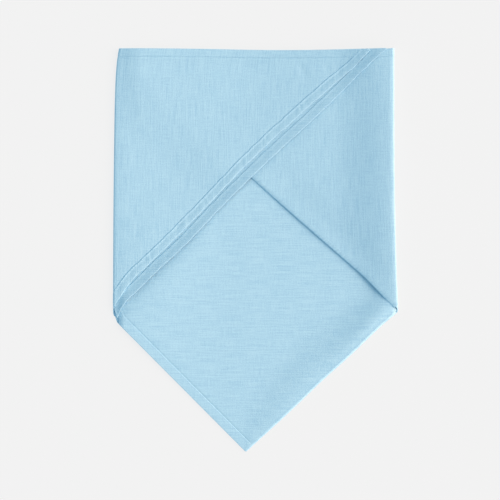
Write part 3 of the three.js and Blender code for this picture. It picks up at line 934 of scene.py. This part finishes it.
def long_hem_half(half, seed):
    """Stations of one half of the long hem, from the fold along the altitude to the wing's point."""
    travel = steps(HEM_END, (wing_point(half), HEM_STEP * LEFT_COS))[:, None]
    edge = long_edge(travel, half)
    room = (upper_edge(travel) - edge) / LEFT_COS
    inside = room[:, 0] > 2 * EDGE_ROUNDING
    travel, edge, room = travel[inside], edge[inside], room[inside]
    width = np.minimum(LONG_HEM, room)
    along = -travel / LEFT_COS
    wing = smooth((LEFT_WING_END + WORN_START - travel) / WORN_REACH)
    near_point = smooth((room - EDGE_ROUNDING) / LONG_HEM)
    swell_out = (LONG_RELIEF * wing if half == "back" else BASE_RELIEF * (1 - wing)) * near_point
    swell_in = LOWER_RELIEF * wing * near_point if half == "front" else 0 * travel

    def ripple(across):
        """Height of the rope and of the gathers at the stitches, less where the hem is flat."""
        phase = 2 * np.pi * (along + ROPE_SLANT * across) / ROPE_PERIOD
        phase = phase + ROPE_DRIFT * uneven(along, seed, DRIFT_PERIOD)
        strength = ROPE_MEAN + ROPE_CHANGE * uneven(along, seed + 3, ROPE_CHANGE_PERIOD)
        rope = ROPE * np.sin(phase) * strength
        pucker = np.cos(2 * np.pi * along / STITCH_PITCH) * np.exp(-((width - across) / PUCKER_WIDTH) ** 2)
        return (rope + PUCKER * pucker) * swell_out / LONG_RELIEF

    raise_out = outward_raise(travel, half)
    across, depth = hem_ring(width, raise_out, swell_out, swell_in, 1 - wing, ripple)
    square = smooth((HEM_END - travel) / SQUARE_REACH)

    def inwards(distance):
        """Places at a distance in from the free edge."""
        sideways = travel + distance * blend(RIGHT_COS, LEFT_SIN, square)
        return sideways, edge + distance * blend(RIGHT_SIN, LEFT_COS, square)

    place_travel, place_y = inwards(across)
    points = on_cloth(place_travel, place_y, half, depth)
    inset = width - STITCH_INSET
    stitch_depth = hem_top(inset, width, raise_out, swell_out, 1 - wing, ripple)
    row = np.concatenate([*inwards(inset), stitch_depth], axis=1)[room[:, 0] > LONG_HEM]
    return points, thread_place(place_travel, place_y, half), across, depth, row


front_points, front_threads, tip_across, tip_depth, front_row = long_hem_half("front", 1.0)
back_points, back_threads, _, _, back_row = long_hem_half("back", 2.0)
corner_cut = UNDER_ROLL * (1 - np.sqrt(1 - (1 - np.minimum(tip_across[:1] / TIP_CORNER, 1)) ** 2))
tip_start = HEM_END + tip_across[:1] * RIGHT_COS
bend_points = round_fold(tip_start, turns.T, tip_depth[:1], corner_cut, 0)
bend_y = fold_edge(tip_start) + ROLL_AT_TIP * (1 - np.sin(turns.T))
bend_threads = thread_place(tip_start, bend_y, "front")
long_hem = hem_piece(
    "neckerchief_long_hem",
    np.concatenate([front_points[::-1], bend_points, back_points]),
    np.concatenate([front_threads[::-1], bend_threads, back_threads]),
)
long_hem.data.materials.append(cotton)
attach(long_hem, "root")
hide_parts("long_hem_front", "long_hem_back")

# The short hems
# The two short edges, turned in 7 mm wide and stitched. They lie on each other along the top, and
# each runs from the left wing's point round both folds to the right wing's point.

SHORT_RIPPLE = 0.04 * MM
SHORT_RELIEF = 0.10 * MM
SHORT_UNDER = 0.03 * MM       # each face of a short hem stands out this much less than the long hem's
SHORT_LAP = 1.2 * MM          # and runs this far under it
SHORT_PERIOD = 8 * MM         # of its ripple, with its slant and its drift
SHORT_SLANT = 0.4
SHORT_DRIFT = 2
WIDTH_SLACK = 0.1 * MM        # a hem this much narrower than its full width is still sewn


def short_hem_points(half, seed):
    """Stations of one short hem, from the left wing's point to the right wing's."""
    travel = steps(wing_point(half), (RIGHT_WING_START + RIGHT_WING, HEM_STEP))[:, None]
    top = upper_edge(travel)
    bottom = np.where(travel < 0, beside_hem(travel, LONG_HEM - SHORT_LAP, half), fold_start(travel, half))
    width = np.minimum(SHORT_HEM, top - bottom)
    inside = width[:, 0] > 2 * EDGE_ROUNDING
    travel, top, width = travel[inside], top[inside], width[inside]
    raise_out = outward_raise(travel, half) - SHORT_UNDER
    swell = SHORT_RELIEF * on_wings(travel) if half == "back" else 0 * travel

    def ripple(across):
        """Height of a slow wave and of the gathers at the stitches."""
        pucker = np.cos(2 * np.pi * travel / STITCH_PITCH) * np.exp(-((width - across) / PUCKER_WIDTH) ** 2)
        phase = 2 * np.pi * (travel + SHORT_SLANT * across) / SHORT_PERIOD
        wave = np.sin(phase + SHORT_DRIFT * uneven(travel, seed, DRIFT_PERIOD))
        return (SHORT_RIPPLE * wave + PUCKER * pucker) * swell / SHORT_RELIEF

    across, depth = hem_ring(width, raise_out, swell, 0 * travel, 0 * travel, ripple)
    depth = np.where(depth > CLOTH_WALL, depth - SHORT_UNDER, depth)
    place_y = top - across
    place_travel = travel + 0 * across
    inset = width - STITCH_INSET
    row = np.concatenate([
        travel, top - inset, hem_top(inset, width, raise_out, swell, 0 * travel, ripple),
    ], axis=1)[width[:, 0] > SHORT_HEM - WIDTH_SLACK]
    points = on_cloth(place_travel, place_y, half, depth)
    return points, thread_place(place_travel, place_y, half), row


for half, seed in (("front", 3.0), ("back", 4.0)):
    points, threads, top_row = short_hem_points(half, seed)
    if half == "front":
        points, threads = points[::-1], threads[::-1]
    hem = hem_piece("neckerchief_short_hem_" + half, points, threads)
    hem.data.materials.append(cotton)
    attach(hem, "root")
    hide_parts("short_hem_" + half)

# The stitching
# A lockstitch row of light blue sewing thread along each hem, 1 mm outside its inner fold. Only the rows
# that show are sewn here: on the band's upper hem, on the base's lower left edge and along the top.

STITCH_LENGTH = 1.9 * MM
THREAD_RADIUS = 0.15 * MM
STITCH_SUNK = 0.05 * MM       # how deep the middle of the thread lies in the cloth's face
STITCH_TAPER = 0.94           # 1 would end each stitch in a point
STITCH_STATIONS = 5
STITCH_SIDES = 6
ROW_START = 3 * MM            # where the rows begin beside the left fold, and the base's row ends at the tip
BASE_ROW_START = 20 * MM
BASE_ROW_END = 14 * MM


def stitches(row, half):
    """Closed beads along a row of places: at even distances, each a tube of six sides whose radius is that
    of half an ellipse along it, shut by two four-sided faces at each end."""
    flat = on_cloth(row[:, 0], row[:, 1], half, row[:, 2])
    run = np.concatenate([[0], np.cumsum(np.linalg.norm(np.diff(flat, axis=0), axis=1))])
    starts = np.arange(STITCH_PITCH, run[-1] - STITCH_PITCH, STITCH_PITCH)
    share = np.linspace(0, 1, STITCH_STATIONS)
    at = starts[:, None] + STITCH_LENGTH * share[None, :]
    travel, y, depth = (np.interp(at, run, row[:, column]) for column in range(3))
    centre = on_cloth(travel, y, half, depth + STITCH_SUNK)
    up = on_cloth(travel, y, half, depth - MM) - centre
    up = up / np.linalg.norm(up, axis=-1, keepdims=True)
    ahead = centre[:, -1:] - centre[:, :1]
    side = np.cross(up, ahead)
    side = side / np.linalg.norm(side, axis=-1, keepdims=True)
    radius = THREAD_RADIUS * np.sqrt(1 - (STITCH_TAPER * (2 * share - 1)) ** 2)[None, :, None, None]
    angle = np.linspace(0, 2 * np.pi, STITCH_SIDES, endpoint=False)[:, None]
    points = centre[:, :, None] + radius * (
        np.cos(angle) * side[:, :, None] + np.sin(angle) * up[:, :, None]
    )
    number = np.arange(points[..., 0].size).reshape(points.shape[:3])
    after = np.roll(number, -1, axis=2)
    tube = np.stack([number[:, :-1], after[:, :-1], after[:, 1:], number[:, 1:]], axis=-1).reshape(-1, 4)
    first, last = number[:, 0], number[:, -1]
    ends = [
        first[:, [3, 2, 1, 0]], first[:, [5, 4, 3, 0]],
        last[:, [0, 1, 2, 3]], last[:, [0, 3, 4, 5]],
    ]
    places = thread_place(travel, y, half)[:, :, None] + np.zeros(points.shape)
    return points.reshape(-1, 3), np.concatenate([tube, *ends]), places.reshape(-1, 3)


upper_band_row = back_row[back_row[:, 0] < LEFT_WING_END - ROW_START]
base_row = front_row[front_row[:, 0] > LEFT_FOLD_END + BASE_ROW_START]
base_row = base_row[base_row[:, 0] < HEM_END - BASE_ROW_END]
top_left_row = top_row[top_row[:, 0] < LEFT_WING_END - ROW_START]
sewn = [stitches(upper_band_row, "back"), stitches(base_row, "front"), stitches(top_left_row, "back")]
counts = np.cumsum([0] + [len(points) for points, _, _ in sewn])
stitching = make_piece(
    "neckerchief_stitching",
    np.concatenate([points for points, _, _ in sewn]),
    np.concatenate([quads + count for (_, quads, _), count in zip(sewn, counts)]),
    np.concatenate([places for _, _, places in sewn]),
)

THREAD_LIGHT = (0.480, 0.722, 0.856, 1)
THREAD_DEEP = (0.375, 0.615, 0.778, 1)
PLY_PITCH = 0.5 * MM
WAVE_UNIT = 0.314             # the wave texture's scale at which one wave is one metre long
thread, nodes, link, shader = new_material("light_blue_thread", 0.6, 0.3)
place = nodes.new("ShaderNodeAttribute")
place.attribute_name = "thread_place"
plies = nodes.new("ShaderNodeTexWave")
plies.inputs["Scale"].default_value = WAVE_UNIT / PLY_PITCH
plies.inputs["Distortion"].default_value = 1.0
ply_colors = nodes.new("ShaderNodeValToRGB")
ply_colors.color_ramp.elements[0].color = THREAD_DEEP
ply_colors.color_ramp.elements[1].color = THREAD_LIGHT
link(place.outputs["Vector"], plies.inputs["Vector"])
link(plies.outputs["Fac"], ply_colors.inputs["Fac"])
link(ply_colors.outputs["Color"], shader.inputs["Base Color"])
stitching.data.materials.append(thread)
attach(stitching, "root")

# Floor and light
# A pale smooth surface that glows a little, so that it stays as even as in the photograph. One wide soft
# light comes from the right and a little from the top of the picture, and the surroundings give the rest.

FLOOR_SIZE = 6.0
FLOOR_SHADE = 0.06
FLOOR_GLOW = 0.81
floor_mesh = bpy.data.meshes.new("floor")
floor_corners = [(-FLOOR_SIZE, -FLOOR_SIZE, 0), (FLOOR_SIZE, -FLOOR_SIZE, 0), (FLOOR_SIZE, FLOOR_SIZE, 0),
                 (-FLOOR_SIZE, FLOOR_SIZE, 0)]
floor_mesh.from_pydata(floor_corners, [], [(0, 1, 2, 3)])
floor = add("floor", floor_mesh)
floor_material, _, _, shader = new_material("pale_floor", 0.9, 0.5)
shader.inputs["Base Color"].default_value = (FLOOR_SHADE, FLOOR_SHADE, FLOOR_SHADE, 1)
shader.inputs["Emission Color"].default_value = (1, 1, 1, 1)
shader.inputs["Emission Strength"].default_value = FLOOR_GLOW
floor.data.materials.append(floor_material)

KEY_STRENGTH = 4.58
KEY_COLOR = (1.0, 0.746, 0.587)
KEY_AZIMUTH = np.radians(3)
KEY_ELEVATION = np.radians(25)
KEY_SOFTNESS = np.radians(60)
AMBIENT = 0.65
AMBIENT_COLOR = (0.60, 0.846, 1.0, 1)
key_data = bpy.data.lights.new("key", "SUN")
key_data.energy = KEY_STRENGTH
key_data.color = KEY_COLOR
key_data.angle = KEY_SOFTNESS
key = add("key", key_data)
key.rotation_euler = (np.pi / 2 - KEY_ELEVATION, 0, KEY_AZIMUTH + np.pi / 2)

world = bpy.data.worlds.new("studio")
world.use_nodes = True
background = world.node_tree.nodes["Background"]
background.inputs["Color"].default_value = AMBIENT_COLOR
background.inputs["Strength"].default_value = AMBIENT
bpy.context.scene.world = world
bpy.context.scene.view_settings.view_transform = "Standard"
